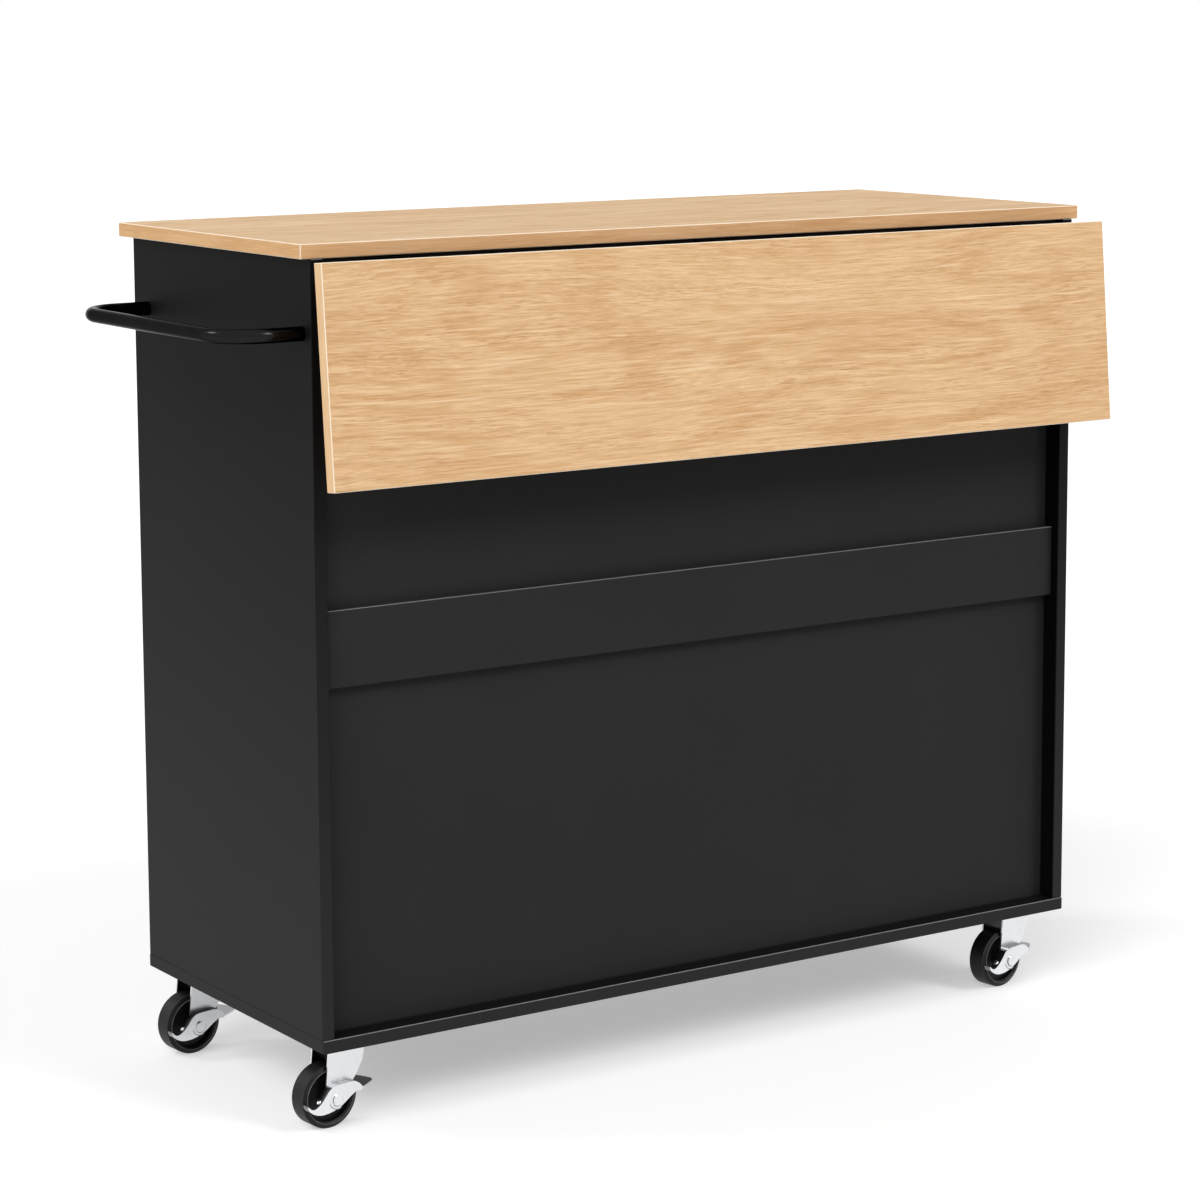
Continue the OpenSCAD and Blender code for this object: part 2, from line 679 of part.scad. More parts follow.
// Wheel: a hub, a thin web, and a rim that slopes from the edges of its tread out to a lip on each face
module caster_wheel(e, s) color(BLACK) at_axle(e, s) rotate([90, 0, 0]) rotate_extrude($fn = 96) {
    half = wheel_w / 2;
    hub = 9;
    bore = axle_r + run_gap;
    web = half * 0.4;
    lip = wheel_r - 4.5;
    rim_in = wheel_r - 7;
    upper = [[bore, half + 0.6], [hub, half + 0.6], [hub, web], [rim_in - 1, web], [rim_in, half - 1.6],
             [lip - 1, half - 0.6], [lip - 0.7, half], [lip, half], [wheel_r - 0.4, half - 2],
             [wheel_r, half - 2.4]];
    polygon(concat(upper, [for (i = [len(upper) - 1 : -1 : 0]) [upper[i].x, -upper[i].y]]));
}

// Outline of a brake lever's side: a rounded toe, a broad sweep over the axle, and an arm to the pedal.
// The short side has a round ear in place of the toe.
module lever_outline(short) {
    ear_r = 12.4;
    intersection() {
        polygon([[-36.4, -0.8], [-36, -3], [-33.8, -6.2], [-30, -9.2], [-25.2, -11.4], [-20.5, -12.4],
                 [-16.5, -12.6], [-11, -12.2], [-5.3, -11], [2.2, -8.8], [9.8, -4], [17.3, 1.3], [23, 4.6],
                 [31, 4.6], [31, 9], [27, 13], [22.5, 15.6], [16, 16.2], [8, 15.8], [0.2, 15.5], [-3.5, 15],
                 [-6.1, 14], [-9, 12], [-11.1, 9.8], [-13.5, 6.8], [-16.2, 3.5], [-19.2, 0.4],
                 [-22.5, -2.2], [-25.8, -4.1], [-28.8, -4.8], [-31.5, -4.2], [-33.8, -2.6], [-35.6, -0.4]]);
        translate([short ? 0 : -wheel_d, -wheel_d]) square(2 * wheel_d);
    }
    if (short) translate([0, 3]) circle(r = ear_r);
}

// Outline of the pedal, from the axle: a leaf with its tip a little to one side
module pedal_outline(root) {
    w = lever_face;
    tip = pedal_tip;
    polygon([[root, -w], [root + 6, -w + 1.7], [root + 12, -w + 4.5], [root + 18, -w + 8.3],
             [root + 25, -w + 13.4], [tip - 5, -5.6], [tip - 1.2, -1.6], [tip, 1.5], [tip - 0.6, 5],
             [tip - 2.4, 10], [tip - 5.2, w - 9.5], [tip - 8.5, w - 5], [tip - 13, w - 1.8],
             [tip - 19, w - 0.3], [tip - 25, w], [root, w]]);
}

// Brake lever: two pressed sides with turned-in top edges, joined behind the wheel by a flat pedal
module caster_brake(e, s) color(ZINC) at_axle(e, s) {
    for (m = [0, 1]) mirror([0, 1 - m, 0]) difference() {
        union() {
            translate([0, lever_face, 0]) rotate([90, 0, 0]) linear_extrude(lever_t) lever_outline(m > 0);
            translate([0, lever_face - lever_t, 0]) rotate([90, 0, 0])
                linear_extrude(lever_out - lever_t - play) difference() {
                    lever_outline(m > 0);
                    translate([lever_t * 0.6, -lever_t * 0.8]) lever_outline(m > 0);
                }
        }
        rod_y(axle_r + run_gap, 4 * lever_face);
    }
    root = 23;
    pedal_t = 2;
    pedal_z = 5.2;
    translate([root, 0, pedal_z]) rotate([0, pedal_dip, 0]) translate([-root, 0, 0]) difference() {
        linear_extrude(pedal_t) pedal_outline(root);
        translate([0, 0, -pedal_z]) rod_y(wheel_r + 1.5, 2 * cheek_out + 2 * play);
    }
}

translate(shift) {
    worktop();
    end_panel(-1);  // end_panel_left
    end_panel(1);  // end_panel_right
    base_board();
    back_panel(back_split_z, top_under);  // back_panel_upper
    back_panel(base_top, back_split_z);  // back_panel_lower
    rail(back_rail_z, back_rail_h);  // back_rail
    rail(top_under - hinge_rail_h, hinge_rail_h);  // hinge_rail
    front_rail();
    partition();
    towel_bar();
    towel_bar_screws();
    drop_leaf();
    leaf_hinge_brackets();
    leaf_hinge_plates();
    leaf_pins();
    stay_brackets();
    stay_channels();
    drawer_runners();
    door_hinge_frames();
    door_hinge_pins();
    shelf_pins();
    caster_screws();
    for (s = SIDES) {
        leaf_stay(s[1]);
        drawer_box(s[1]);
        drawer_bottom(s[1]);
        drawer_front(s[1]);
        drawer_knob(s[1]);
        drawer_slides(s[1]);
        door(s[1]);
        door_knob(s[1]);
        door_hinge_leaves(s[1]);
        shelf(s[1]);
    }
    for (e = ENDS, s = SIDES) {
        name = str("caster_", e[0], "_", s[0], "_");
        caster_plate(e[1], s[1]);
        caster_fork(e[1], s[1]);
        caster_wheel(e[1], s[1]);
        caster_brake(e[1], s[1]);
    }
}
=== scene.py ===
import json
import math

import bmesh
import bpy
from mathutils import Matrix, Vector


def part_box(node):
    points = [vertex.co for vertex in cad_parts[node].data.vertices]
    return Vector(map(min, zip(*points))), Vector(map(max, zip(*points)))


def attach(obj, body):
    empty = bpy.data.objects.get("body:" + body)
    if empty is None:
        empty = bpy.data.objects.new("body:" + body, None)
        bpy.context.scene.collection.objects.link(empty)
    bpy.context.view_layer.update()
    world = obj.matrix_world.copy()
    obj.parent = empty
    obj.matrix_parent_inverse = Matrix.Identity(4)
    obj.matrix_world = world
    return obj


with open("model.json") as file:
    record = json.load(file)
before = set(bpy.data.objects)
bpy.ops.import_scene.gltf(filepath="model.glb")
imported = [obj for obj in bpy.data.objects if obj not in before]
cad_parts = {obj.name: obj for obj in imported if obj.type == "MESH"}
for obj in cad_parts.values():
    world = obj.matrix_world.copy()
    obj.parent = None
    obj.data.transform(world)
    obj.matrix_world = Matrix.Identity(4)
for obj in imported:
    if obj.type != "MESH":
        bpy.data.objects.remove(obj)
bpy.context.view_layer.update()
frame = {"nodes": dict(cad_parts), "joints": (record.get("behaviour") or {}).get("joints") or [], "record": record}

NODES = frame["nodes"]
JOINTS = {joint["name"]: joint for joint in frame["joints"]}
SIDES = ("left", "right")
CASTERS = [f"{end}_{side}" for end in ("back", "front") for side in SIDES]
MM = 0.001

# Sizes in millimetres that the CAD's boxes and joints don't give
HINGE_X = (-400, 0, 400)          # the leaf's hinges, from its middle
HINGE_PLATE = 2                   # thickness of the hinge plates and of the wall brackets
PIN_TO_LEAF = 14                  # from the leaf's pins to the face that its hinge plates lie on
BRACKET_SCREWS = ((-14, -24), (14, -24), (0, -14))   # x and z from a hinge's pin, on its bracket
LEAF_SCREWS = ((-15, -29), (15, -29), (0, -18))      # x and y from its pin, on the raised leaf
STAY_SCREW_Z = 12.5               # above and below a stay's pivot
CASTER_PLATE = 2.5                # thickness of a caster's top plate
CASTER_SCREWS = (23, 19)          # x and y from a caster's swivel
WHEEL_HALF = 12                   # half of a wheel's width
CHEEK_IN = 13.5                   # from a wheel's middle to its fork's cheeks
LEVER_FACE = 24.7                 # from a wheel's middle to its lever's outer face
LEVER_STUD = (-19.5, -19.0, 0.2)  # stud on a lever's toe, from its axle

# Faces of the cabinet's back, in metres
RAIL_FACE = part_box("hinge_rail")[0].y
BACK_PANEL_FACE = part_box("back_panel_lower")[0].y


def axle_frame(caster):
    """The place of a caster's axle: x runs forward over the swivel, y along the axle, z up."""
    spin = JOINTS[f"wheel_{caster}_spin"]
    along = Vector(spin["axis"])
    up = Vector((0, 0, 1))
    place = Matrix((along.cross(up), along, up)).transposed().to_4x4()
    place.translation = spin["pos_m"]
    return place


# Shader maths

class Signal:
    """A socket of a node tree. Python's operators on it add Math nodes."""

    def __init__(self, tree, socket):
        self.tree = tree
        self.socket = socket

    def maths(self, operation, *values):
        return self.tree.node("ShaderNodeMath", {"operation": operation}, values)

    def __add__(self, other):
        return self.maths("ADD", self, other)

    def __sub__(self, other):
        return self.maths("SUBTRACT", self, other)

    def __rsub__(self, other):
        return self.maths("SUBTRACT", other, self)

    def __mul__(self, other):
        return self.maths("MULTIPLY", self, other)

    def __abs__(self):
        return self.maths("ABSOLUTE", self)

    __radd__ = __add__
    __rmul__ = __mul__

    def larger(self, other):
        return self.maths("MAXIMUM", self, other)

    def step(self, low, high):
        """0 below low and 1 above high, with a soft change between."""
        return self.tree.node("ShaderNodeMapRange", {"interpolation_type": "SMOOTHSTEP"},
                              (self, low, high, 0.0, 1.0))

    def wave(self, turns):
        """A sine from 0 to 1, with that many turns as the signal goes from 0 to 1."""
        return self.maths("SINE", self * (turns * 2 * math.pi)) * 0.5 + 0.5

    def stretched(self, x, y, z):
        """A place with each axis scaled by itself."""
        return self.tree.node("ShaderNodeVectorMath", {"operation": "MULTIPLY"}, (self, (x, y, z)))

    def distance(self, point):
        """How far a place is from a point."""
        return self.tree.node("ShaderNodeVectorMath", {"operation": "DISTANCE"}, (self, point), "Value")


class Tree:
    """A node tree. Numbers set a node's sockets, and signals are linked to them."""

    def __init__(self, owner):
        owner.use_nodes = True
        self.nodes = owner.node_tree.nodes
        self.links = owner.node_tree.links

    def feed(self, socket, value):
        if isinstance(value, Signal):
            self.links.new(value.socket, socket)
        else:
            socket.default_value = value

    def node(self, kind, settings=None, values=(), output=0):
        """A node with its settings set first, then its sockets by number or by name."""
        made = self.nodes.new(kind)
        for key, value in (settings or {}).items():
            setattr(made, key, value)
        for key, value in values.items() if isinstance(values, dict) else enumerate(values):
            self.feed(made.inputs[key], value)
        return Signal(self, made.outputs[output])

    def seen(self):
        """1 for what the camera sees, by itself or in metal or glass, and 0 for the light of the room."""
        camera, mirror, glass = [self.node("ShaderNodeLightPath", output=f"Is {kind} Ray")
                                 for kind in ("Camera", "Glossy", "Transmission")]
        return camera.larger(mirror).larger(glass)


class Finish(Tree):
    """A procedural material on the sockets of its shader."""

    def __init__(self, name, **constants):
        self.material = bpy.data.materials.new(name)
        super().__init__(self.material)
        self.shader = self.nodes["Principled BSDF"]
        for socket, value in constants.items():
            self.set(socket.replace("_", " "), value)

    def set(self, socket, value):
        self.feed(self.shader.inputs[socket], value)

    def place(self):
        """Where a point lies on the object at rest, in metres."""
        return self.node("ShaderNodeTexCoord", output="Object")

    def facing(self):
        """Which way the surface faces, on the object at rest."""
        return self.node("ShaderNodeTexCoord", output="Normal")

    def axes(self, vector):
        """The three numbers of a vector."""
        split = self.node("ShaderNodeSeparateXYZ", values=(vector,)).socket.node
        return [Signal(self, socket) for socket in split.outputs]

    def vector(self, x, y, z):
        return self.node("ShaderNodeCombineXYZ", values=(x, y, z))

    def noise(self, vector, scale=1.0, detail=2.0, roughness=0.5, distortion=0.0):
        return self.node("ShaderNodeTexNoise", values={
            "Vector": vector, "Scale": scale, "Detail": detail, "Roughness": roughness,
            "Distortion": distortion})

    def mix(self, share, low, high):
        """From one colour to another, as the share goes from 0 to 1."""
        return self.node("ShaderNodeMix", {"data_type": "RGBA"}, {0: share, 6: low, 7: high}, output=2)

    def blend(self, share, low, high):
        """From one place to another, as the share goes from 0 to 1."""
        return self.node("ShaderNodeMix", {"data_type": "VECTOR"}, {0: share, 4: low, 5: high}, output=1)

    def bump(self, height, distance, strength=1.0):
        """Raises the surface by up to a distance in metres, where the height goes from 0 to 1."""
        self.set("Normal", self.node("ShaderNodeBump", values={
            "Strength": strength, "Distance": distance, "Height": height}))

    def edges(self):
        """1 on the broken edges between the flat faces of a board, and 0 on the faces."""
        x, y, z = self.axes(self.facing())
        return 1 - abs(x).larger(abs(y)).larger(abs(z)).step(0.85, 0.97)


def colour(red, green, blue):
    """A colour from its 0 to 255 screen values."""
    def linear(value):
        value /= 255
        return value / 12.92 if value <= 0.04045 else ((value + 0.055) / 1.055) ** 2.4
    return (linear(red), linear(green), linear(blue), 1.0)


# Finishes

def oak_laminate(name, brown, pale, edge_axis, edging, end):
    """Printed oak along X, from brown to pale: wavy fibres, short dark pores and faint arches.

    The board's long edges face the numbered axis. They and its ends have edging of their own colours,
    with pale corners: partly the edging's cream line, partly a painted highlight."""
    oak = Finish(name, Specular_IOR_Level=0.12)
    facing = [abs(part) for part in oak.axes(oak.facing())]
    on_end = facing[0].step(0.6, 0.8)
    on_edging = facing[edge_axis].step(0.6, 0.8)
    place = oak.place()
    x, y, z = oak.axes(place)
    along_end = oak.vector(y, x, z) if edge_axis == 1 else oak.vector(z, y, x)
    place = oak.blend(on_end, place, along_end)
    bend = (oak.noise(place.stretched(2.0, 8, 8), detail=1) - 0.5) * 0.03
    x, y, z = oak.axes(place)
    grain = oak.vector(x, y + bend, z + bend)

    arches = oak.noise(grain.stretched(0.9, 7, 7), detail=1, distortion=0.2).wave(17)
    patches = oak.noise(grain.stretched(1.8, 20, 20), detail=2)
    bands = oak.noise(grain.stretched(5, 100, 100), detail=2, roughness=0.6)
    long_lines = oak.noise(grain.stretched(5, 330, 330), detail=2, roughness=0.6)
    streaks = oak.noise(grain.stretched(16, 520, 520), detail=2, roughness=0.65)
    fibres = oak.noise(grain.stretched(26, 900, 900), detail=3, roughness=0.75)
    pored = oak.noise(grain.stretched(7, 50, 50), detail=2).step(0.40, 0.62)
    pores = oak.noise(grain.stretched(48, 1000, 1000), detail=1).step(0.54, 0.64) * pored
    pale_lines = oak.noise(grain.stretched(9, 360, 360), detail=1).step(0.58, 0.72)

    tone = (0.53 - (1 - arches).step(0.4, 1.0) * 0.12
            + (patches - 0.5) * 0.3 + (bands - 0.5) * 0.26 + (long_lines - 0.5) * 0.45
            + (streaks - 0.5) * 0.4 + (fibres - 0.5) * 1.3)
    wood = oak.mix(tone.step(0.08, 0.92), brown, pale)
    wood = oak.mix(pores * 0.45, wood, colour(182, 128, 80))
    wood = oak.mix(pale_lines * 0.35, wood, colour(250, 222, 184))
    wood = oak.mix(on_edging * 0.5, wood, edging)
    wood = oak.mix(on_end * 0.6, wood, end)
    # Pale corners: partly the edging's cream line, partly a painted highlight.
    oak.set("Base Color", oak.mix(oak.edges() * 0.85, wood, colour(252, 238, 216)))
    oak.set("Roughness", (fibres - 0.5) * 0.2 + pores * 0.1 + 0.6)
    oak.bump(fibres * 0.5 + (1 - pores) * 0.5, 0.00004, 0.5)
    return oak.material


def charcoal_laminate(name, inward=0, floor_board=False):
    """Satin charcoal foil with a fine leathery grain and faint clouds, and a painted highlight on long upper
    edges.

    An end panel has painted light and shade, darker towards the top and paler near the floor. In the recess
    behind the back panels, the side of an end panel that faces inward along x and the top of the base
    board have painted shade, near black."""
    foil = Finish(name, Specular_IOR_Level=0.05)
    place = foil.place()
    cloud = foil.noise(place, scale=5, detail=3)
    grain = foil.noise(place, scale=900, detail=3, roughness=0.6)
    speck = foil.noise(place, scale=2400, detail=1)
    _, depth, height = foil.axes(place)
    faces_x, _, faces_z = foil.axes(foil.facing())
    body = foil.mix(cloud * 0.6 + grain * 0.4, colour(38, 37, 37), colour(48, 47, 47))
    recess = 1 - depth.step(BACK_PANEL_FACE - MM, BACK_PANEL_FACE)
    if inward:
        # Painted light and shade: darker towards the top, paler near the floor.
        body = foil.mix(height.step(0.05, 0.95), body, colour(12, 11, 11))
        # Painted shade: the end panel's inward side in the recess, near black.
        body = foil.mix((faces_x * inward).step(0.6, 0.8) * recess * 0.95, body, colour(4, 4, 4))
    if floor_board:
        # Painted shade: the base board's top in the recess, near black.
        body = foil.mix(faces_z.step(0.85, 0.97) * recess * 0.8, body, colour(5, 5, 5))
    # Painted highlight: long upper edges made pale, where light from above would catch them.
    edge_highlight = foil.edges() * faces_z.step(0.4, 0.6) * (1 - abs(faces_x).step(0.2, 0.4))
    foil.set("Base Color", foil.mix(edge_highlight * 0.8, body, colour(128, 126, 124)))
    foil.set("Roughness", (cloud - 0.5) * 0.08 + (speck - 0.5) * 0.1 + 0.55)
    foil.bump(grain + speck * 0.4, 0.00003, 0.5)
    return foil.material


def birch_ply():
    """Pale plywood: faint long grain along X, with fine fibres."""
    ply = Finish("birch_ply")
    place = ply.place()
    grain = ply.noise(place.stretched(5, 60, 60), detail=4, distortion=0.3)
    fibres = ply.noise(place.stretched(30, 700, 700), detail=2)
    tone = grain * 0.7 + fibres * 0.3
    ply.set("Base Color", ply.mix(tone.step(0.25, 0.75), colour(205, 180, 140), colour(232, 212, 178)))
    ply.set("Roughness", (fibres - 0.5) * 0.2 + 0.5)
    ply.bump(fibres, 0.00005, 0.5)
    return ply.material


def black_coat(name, roughness, dark, light):
    """Black coating with slight dimples like orange peel.

    It is set as a dark metal with a low edge tint, so that white surroundings don't turn a tube grey
    towards its outline."""
    coat = Finish(name, Metallic=1.0, Specular_Tint=(0.47, 0.47, 0.47, 1.0))
    place = coat.place()
    peel = coat.noise(place, scale=600, detail=2)
    cloud = coat.noise(place, scale=30, detail=2)
    coat.set("Base Color", coat.mix(cloud, dark, light))
    coat.set("Roughness", (cloud - 0.5) * 0.08 + (peel - 0.5) * 0.05 + roughness)
    coat.bump(peel, 0.00002, 0.2)
    return coat.material


def start_zinc(name, dull=colour(217, 219, 222), bright=colour(239, 240, 242)):
    """Bright zinc on pressed steel, with a faint crystal bloom and soft dulling.

    Gives the finish and its colour, which isn't on the shader yet."""
    plate = Finish(name, Metallic=1.0)
    place = plate.place()
    bloom = plate.noise(place, scale=160, detail=3)
    clouds = plate.noise(place, scale=35, detail=2)
    plate.set("Roughness", clouds * 0.12 + (bloom - 0.5) * 0.08 + 0.24)
    plate.bump(bloom, 0.00001, 0.3)
    return plate, plate.mix(bloom * 0.5 + clouds * 0.5, dull, bright)


def zinc(name, *colours):
    """Zinc of the same brightness all over."""
    plate, sheen = start_zinc(name, *colours)
    plate.set("Base Color", sheen)
    return plate.material


def fork_zinc(caster):
    """Zinc with painted shade between a fork's cheeks, for the dark reflections of the wheel and the shade there.
    """
    plate, sheen = start_zinc(f"zinc_fork_{caster}")
    axle = axle_frame(caster)
    middle, along = axle.translation, axle.col[1]
    x, y, _ = plate.axes(plate.place())
    across = abs((x - middle.x) * along.x + (y - middle.y) * along.y)
    # Painted shade and dark reflection between the cheeks.
    shade_between_cheeks = 1 - across.step((CHEEK_IN + 0.2) * MM, (CHEEK_IN + 0.6) * MM)
    plate.set("Base Color", plate.mix(shade_between_cheeks * 0.97, sheen, colour(24, 24, 25)))
    return plate.material


def lever_zinc(caster):
    """Zinc with painted dark reflections, grey on a lever's rims and pedal, and painted shade round the stud on
    its toe.
    """
    plate, sheen = start_zinc(f"zinc_lever_{caster}")
    axle = axle_frame(caster)
    along = axle.col[1]
    x, y, _ = plate.axes(plate.facing())
    # Painted dark reflection: grey on the rims and pedal, which face away from the white around.
    rim_shade = 1 - abs(x * along.x + y * along.y).step(0.5, 0.95)
    sheen = plate.mix(rim_shade * 0.8, sheen, colour(74, 75, 78))
    # Painted shade: dark round the stud on the toe.
    from_stud = plate.place().distance(axle @ (Vector(LEVER_STUD) * MM))
    stud_shade = 1 - (from_stud * from_stud).step((3.6 * MM) ** 2, (5.0 * MM) ** 2)
    plate.set("Base Color", plate.mix(stud_shade * 0.85, sheen, colour(36, 36, 38)))
    return plate.material


def moulded_plastic(name, dark, light, roughness=0.48):
    """Moulded black plastic with a matt skin and fine scuffs."""
    moulded = Finish(name, Specular_IOR_Level=0.22)
    place = moulded.place()
    skin = moulded.noise(place, scale=1300, detail=2)
    scuffs = moulded.noise(place, scale=90, detail=4, roughness=0.7)
    moulded.set("Base Color", moulded.mix(scuffs.step(0.4, 0.75), dark, light))
    moulded.set("Roughness", (scuffs - 0.5) * 0.2 + roughness)
    moulded.bump(skin, 0.00003, 0.4)
    return moulded.material


ZINC = zinc("zinc_plate")
# Painted shade: darker zinc for the lines of the pressed marks, for the shade in their grooves.
SHADED_MARK_ZINC = zinc("zinc_pressed", colour(120, 124, 129), colour(150, 154, 158))
# Painted highlights: paler plastic for the fine lines round a wheel's tread and lips.
TREAD_HIGHLIGHT = moulded_plastic("tread_edge", colour(52, 52, 53), colour(74, 74, 75))
LIP_HIGHLIGHT = moulded_plastic("lip_edge", colour(84, 84, 86), colour(118, 118, 120), 0.35)
SLOT_FINISHES = {
    "charcoal_laminate": charcoal_laminate("charcoal_laminate"),
    "birch_ply": birch_ply(),
    "black_coat": black_coat("black_coat", 0.20, colour(34, 34, 34), colour(40, 40, 40)),
    "black_knob": black_coat("black_knob", 0.38, colour(33, 33, 33), colour(39, 39, 39)),
    "zinc_plate": ZINC,
    "wheel_plastic": moulded_plastic("wheel_plastic", colour(12, 12, 13), colour(22, 22, 23)),
}
NODE_FINISHES = {
    "worktop": oak_laminate("oak_worktop", brown=colour(186, 146, 100), pale=colour(226, 197, 160),
                            edge_axis=1, edging=colour(228, 173, 120), end=colour(218, 168, 114)),
    "drop_leaf": oak_laminate("oak_leaf", brown=colour(204, 158, 109), pale=colour(237, 201, 158),
                              edge_axis=2, edging=colour(241, 213, 174), end=colour(236, 200, 156)),
    "end_panel_left": charcoal_laminate("charcoal_left_end", inward=1),
    "end_panel_right": charcoal_laminate("charcoal_right_end", inward=-1),
    "base_board": charcoal_laminate("charcoal_base", floor_board=True),
}
for caster in CASTERS:
    NODE_FINISHES[f"caster_{caster}_fork"] = fork_zinc(caster)
    NODE_FINISHES[f"caster_{caster}_brake"] = lever_zinc(caster)
for subpart in frame["record"]["subparts"]:
    node = subpart["node"]
    finish = NODE_FINISHES.get(node) or SLOT_FINISHES[subpart["material_slot"]]
    NODES[node].data.materials.clear()
    NODES[node].data.materials.append(finish)


# Small pieces that the CAD leaves out

def new_object(name, data):
    """Puts a mesh, a lamp or a camera into the scene."""
    made = bpy.data.objects.new(name, data)
    bpy.context.scene.collection.objects.link(made)
    return made


def add_piece(name, mesh_data, body, material):
    """Makes a piece from a bmesh, and lets it ride on a body of the CAD. Points that meet become one."""
    bmesh.ops.remove_doubles(mesh_data, verts=mesh_data.verts, dist=0.01 * MM)
    mesh = bpy.data.meshes.new(name)
    mesh_data.to_mesh(mesh)
    mesh_data.free()
    for polygon in mesh.polygons:
        polygon.use_smooth = True
    mesh.materials.append(material)
    piece = new_object(name, mesh)
    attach(piece, body)


def facing_place(point, direction):
    """A place at a point, with its z axis along a direction."""
    return Matrix.Translation(point) @ Vector(direction).to_track_quat("Z", "Y").to_matrix().to_4x4()


def turned(radius, turn, height):
    """A point at a turn about the z axis, in metres, from a radius and a height in millimetres."""
    return Vector((radius * math.cos(turn), radius * math.sin(turn), height)) * MM


def join_hoops(mesh_data, hoops):
    """Joins each hoop of points to the next one with faces."""
    for hoop, following in zip(hoops, hoops[1:]):
        for side, point in enumerate(hoop):
            beside = (side + 1) % len(hoop)
            mesh_data.faces.new((point, hoop[beside], following[beside], following[side]))


def lathe(mesh_data, place, profile, steps=24):
    """Turns a profile of radius and height, in millimetres, about the z axis of a place."""
    turns = [2 * math.pi * step / steps for step in range(steps)]
    hoops = [[mesh_data.verts.new(place @ turned(radius, turn, height)) for turn in turns]
             for radius, height in profile]
    join_hoops(mesh_data, hoops)


def cross_screw(mesh_data, place, radius=4.2, height=1.5):
    """A domed screw head with a cross recess, on the z axis of a place. Its rim is sunk a little.

    The recess is half as deep at the tips of the cross as in the middle."""
    rings, steps = 10, 48
    dome_power, rim_height = 2.6, -0.2
    cross_half, cross_depth = 0.55, 0.9
    cross_reach = 0.62              # as a share of the radius
    hoops = []
    for ring in range(rings + 1):
        share = ring / rings
        hoop = []
        for step in range(steps):
            turn = 2 * math.pi * step / steps
            x, y = radius * share * math.cos(turn), radius * share * math.sin(turn)
            z = height * (1 - share ** dome_power) if ring < rings else rim_height
            if share < cross_reach and min(abs(x), abs(y)) < cross_half:
                z -= cross_depth * (1 - share / cross_reach * 0.5)
            hoop.append(mesh_data.verts.new(place @ (Vector((x, y, z)) * MM)))
        hoops.append(hoop)
    join_hoops(mesh_data, hoops[::-1])


def ring_line(mesh_data, place, radius, height, thickness, start=0, end=360, steps=72, sides=8):
    """A thin rounded line round the z axis of a place, from a start to an end angle in degrees.

    A line that doesn't close is thin at its ends, and full after a sixth of its length."""
    closed = end - start >= 360
    thin_end = 0.1                  # as a share of the thickness
    leans = [2 * math.pi * side / sides for side in range(sides)]
    hoops = []
    for step in range(steps if closed else steps + 1):
        turn = math.radians(start + (end - start) * step / steps)
        full = 1 if closed else min(1, 6 * min(step, steps - step) / steps)
        thick = thickness * (thin_end + (1 - thin_end) * full)
        hoops.append([mesh_data.verts.new(place @ turned(radius + thick * math.cos(lean), turn,
                                                         height + thick * math.sin(lean)))
                      for lean in leans])
    join_hoops(mesh_data, hoops + hoops[:1] if closed else hoops)
    if not closed:
        mesh_data.faces.new(hoops[0])
        mesh_data.faces.new(hoops[-1][::-1])


def add_hinge_screws():
    """Cross-head screws of the leaf's hinges and stays, on the cabinet and under the leaf."""
    pin = Vector(JOINTS["leaf_hinge"]["pos_m"])
    on_cabinet = bmesh.new()
    bracket_face = RAIL_FACE - HINGE_PLATE * MM
    for hinge_x in HINGE_X:
        for x, z in BRACKET_SCREWS:
            point = (pin.x + (hinge_x + x) * MM, bracket_face, pin.z + z * MM)
            cross_screw(on_cabinet, facing_place(point, (0, -1, 0)))
    for side in SIDES:
        x, _, pivot_z = JOINTS[f"stay_{side}_pivot"]["pos_m"]
        for z in (-STAY_SCREW_Z, STAY_SCREW_Z):
            cross_screw(on_cabinet, facing_place((x, bracket_face, pivot_z + z * MM), (0, -1, 0)), 3.6)
    add_piece("hinge_screws_cabinet", on_cabinet, "cabinet", ZINC)

    on_leaf = bmesh.new()
    swing = math.radians(JOINTS["leaf_hinge"]["range_deg"][1])
    hanging = Matrix.Translation(pin) @ Matrix.Rotation(swing, 4, "X")
    for hinge_x in HINGE_X:
        for x, y in LEAF_SCREWS:
            point = Vector((hinge_x + x, y, PIN_TO_LEAF - HINGE_PLATE)) * MM
            cross_screw(on_leaf, hanging @ facing_place(point, (0, 0, -1)))
    add_piece("hinge_screws_leaf", on_leaf, "leaf", ZINC)


def add_caster_screws(caster):
    """The heads of the screws that hold a caster's top plate to the base board."""
    x, y, _ = JOINTS[f"caster_{caster}_swivel"]["pos_m"]
    under_plate = Vector((x, y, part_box("base_board")[0].z - CASTER_PLATE * MM))
    screws = bmesh.new()
    for across in (-1, 1):
        for along in (-1, 1):
            offset = Vector((across * CASTER_SCREWS[0], along * CASTER_SCREWS[1], 0)) * MM
            cross_screw(screws, facing_place(under_plate + offset, (0, 0, -1)), radius=4.6, height=2.2)
    add_piece(f"caster_{caster}_screw_heads", screws, "cabinet", ZINC)


def add_wheel_lines(caster):
    """Fine raised lines on a wheel, round its tread and round its lips, in paler plastic as a painted highlight.
    """
    axle = axle_frame(caster)
    wheel_r = axle.translation.z / MM       # the wheel stands on the floor
    for line, radius, height, thickness, material in (
            ("tread", wheel_r - 0.45, WHEEL_HALF - 2.25, 0.3, TREAD_HIGHLIGHT),
            ("lip", wheel_r - 4.9, WHEEL_HALF, 0.4, LIP_HIGHLIGHT)):
        lines = bmesh.new()
        for face in (-1, 1):
            ring_line(lines, axle @ facing_place((0, 0, 0), (0, face, 0)), radius, height, thickness)
        add_piece(f"wheel_{caster}_{line}_lines", lines, f"wheel_{caster}", material)


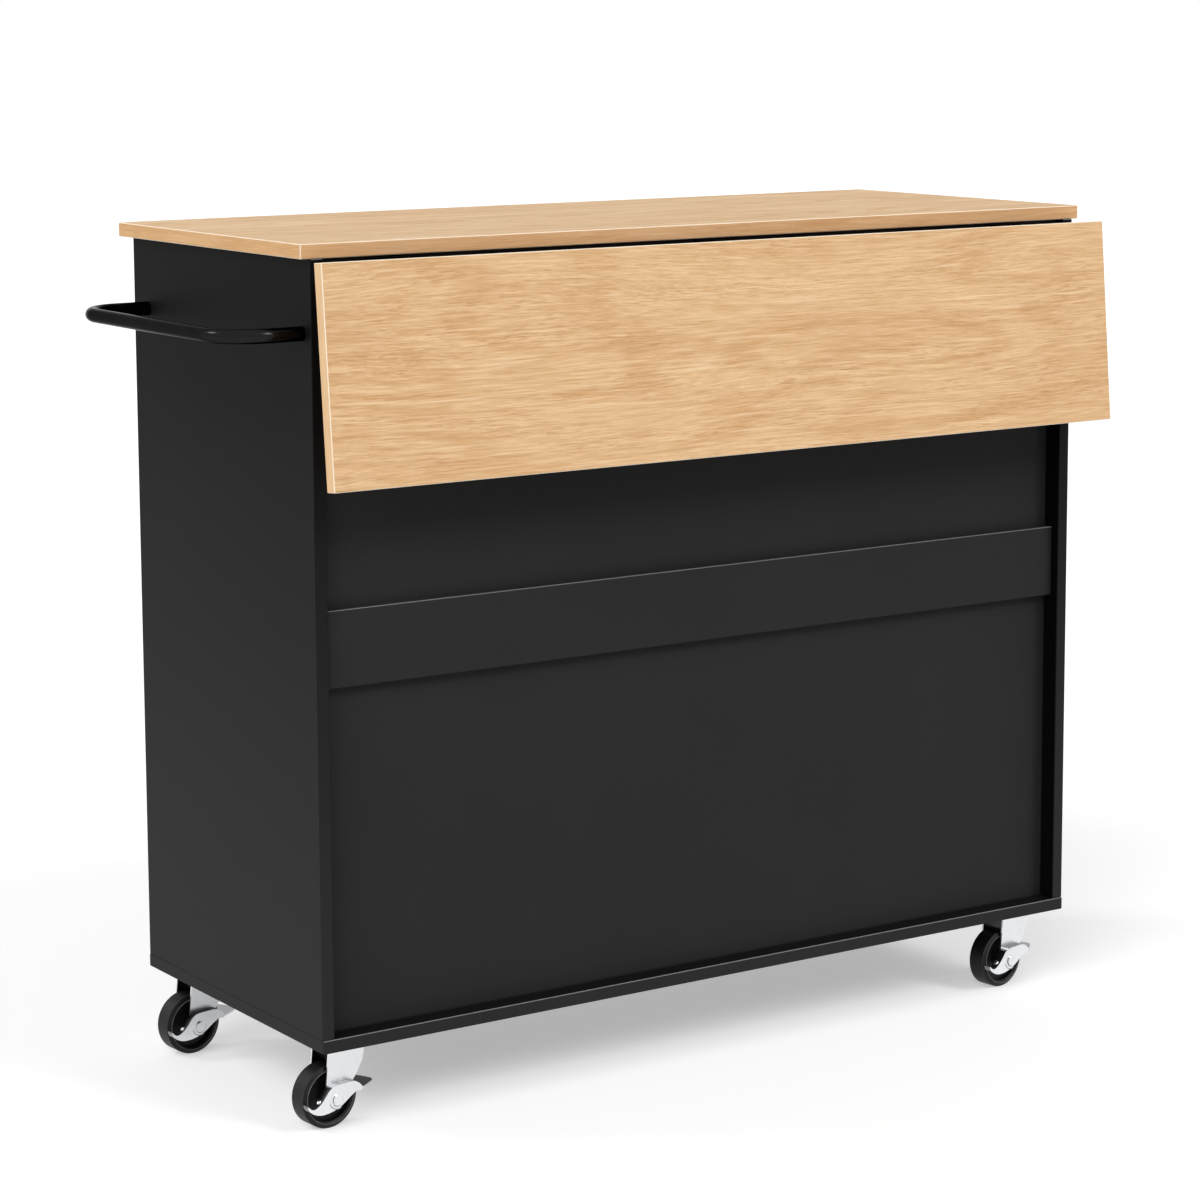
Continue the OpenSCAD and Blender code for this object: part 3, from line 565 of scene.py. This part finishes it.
def add_lever_details(caster):
    """The marks pressed into a brake lever round its axle, and the stud on its toe."""
    axle = axle_frame(caster)
    outward = axle @ facing_place((0, 0, 0), (0, -1, 0))
    marks = bmesh.new()
    for radius, thickness, start, end in ((6.6, 0.45, -150, 20), (9.6, 0.5, -175, -55)):
        ring_line(marks, outward, radius, LEVER_FACE, thickness, start, end, steps=30)
    # The marks' darker zinc is painted shade.
    add_piece(f"brake_{caster}_marks", marks, f"brake_{caster}", SHADED_MARK_ZINC)

    stud = bmesh.new()
    back_and_up = (-0.62, 0, 0.78)
    toe = axle @ facing_place(Vector(LEVER_STUD) * MM, back_and_up)
    lathe(stud, toe, ((3.1, -0.6), (3.1, 0.2), (2.7, 0.9), (1.7, 1.4), (0, 1.6)))
    add_piece(f"brake_{caster}_stud", stud, f"brake_{caster}", ZINC)


add_hinge_screws()
for caster in CASTERS:
    add_caster_screws(caster)
    add_wheel_lines(caster)
    add_lever_details(caster)


# Floor, light and camera

def add_floor(half=30.0, shade=0.72, glow=0.405):
    """A white floor that keeps shadows. What the camera sees of it also has a little light of its own."""
    white = Finish("floor_white", Base_Color=(shade, shade, shade, 1.0), Roughness=1.0,
                   Specular_IOR_Level=0.0, Emission_Strength=1.0)
    white.set("Emission Color", white.mix(white.seen(), (0.0, 0.0, 0.0, 1.0), (glow, glow, glow, 1.0)))
    mesh = bpy.data.meshes.new("floor")
    corners = [(-half, -half, 0), (half, -half, 0), (half, half, 0), (-half, half, 0)]
    mesh.from_pydata(corners, [], [(0, 1, 2, 3)])
    mesh.materials.append(white.material)
    new_object("floor", mesh)


def light_world(ambient):
    """White where the camera, metal or glass look, and a plain level of light for the rest."""
    world = bpy.data.worlds.new("studio")
    bpy.context.scene.world = world
    studio = Tree(world)
    background = studio.nodes["Background"]
    studio.feed(background.inputs["Color"], (1.0, 1.0, 1.0, 1.0))
    studio.feed(background.inputs["Strength"], studio.seen() * (1 - ambient) + ambient)


def add_softlight(name, towards, spread, level, glints=False):
    """Even light from one side, over a spread in degrees.

    At level 1 alone, a white face turned to it renders white. One that glints also shows in what is
    glossy."""
    lamp = bpy.data.lights.new(name, "SUN")
    lamp.angle = math.radians(spread)
    lamp.energy = level * math.pi
    light = new_object(name, lamp)
    light.rotation_euler = Vector(towards).to_track_quat("Z", "Y").to_euler()
    light.visible_glossy = light.visible_transmission = glints


def add_camera():
    """The photograph's viewpoint: turned, tipped and rolled about its own place, in degrees."""
    turn, tip, roll = math.radians(33.728), math.radians(-8.282), math.radians(-0.240)
    ahead = Vector((math.sin(turn) * math.cos(tip), math.cos(turn) * math.cos(tip), math.sin(tip)))
    level_right = Vector((math.cos(turn), -math.sin(turn), 0))
    level_up = level_right.cross(ahead)
    right = level_right * math.cos(roll) + level_up * math.sin(roll)
    up = level_up * math.cos(roll) - level_right * math.sin(roll)
    lens = bpy.data.cameras.new("camera")
    lens.sensor_width = 36.0
    lens.lens = 102.96
    lens.shift_y = -0.0917
    lens.clip_end = 100.0
    low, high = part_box("worktop")
    worktop_middle = Vector(((low.x + high.x) / 2, (low.y + high.y) / 2, 0))
    from_worktop = Vector((-2128.6, -3161.7, 1159.0)) * MM
    place = Matrix((right, up, -ahead)).transposed().to_4x4()
    place.translation = worktop_middle + from_worktop
    camera = new_object("camera", lens)
    camera.matrix_world = place
    bpy.context.scene.camera = camera


add_floor()
light_world(ambient=0.27)
add_softlight("key", towards=(-1.0, -0.6, 0.9), spread=45, level=0.60)
add_softlight("back", towards=(0.5, 1.0, 0.6), spread=60, level=0.12)
add_softlight("near_glint", towards=(0.38, -0.69, 0.615), spread=22, level=0.38, glints=True)
add_softlight("far_glint", towards=(-0.615, 0.49, 0.615), spread=16, level=0.20, glints=True)
add_camera()
bpy.context.scene.view_settings.view_transform = "Standard"
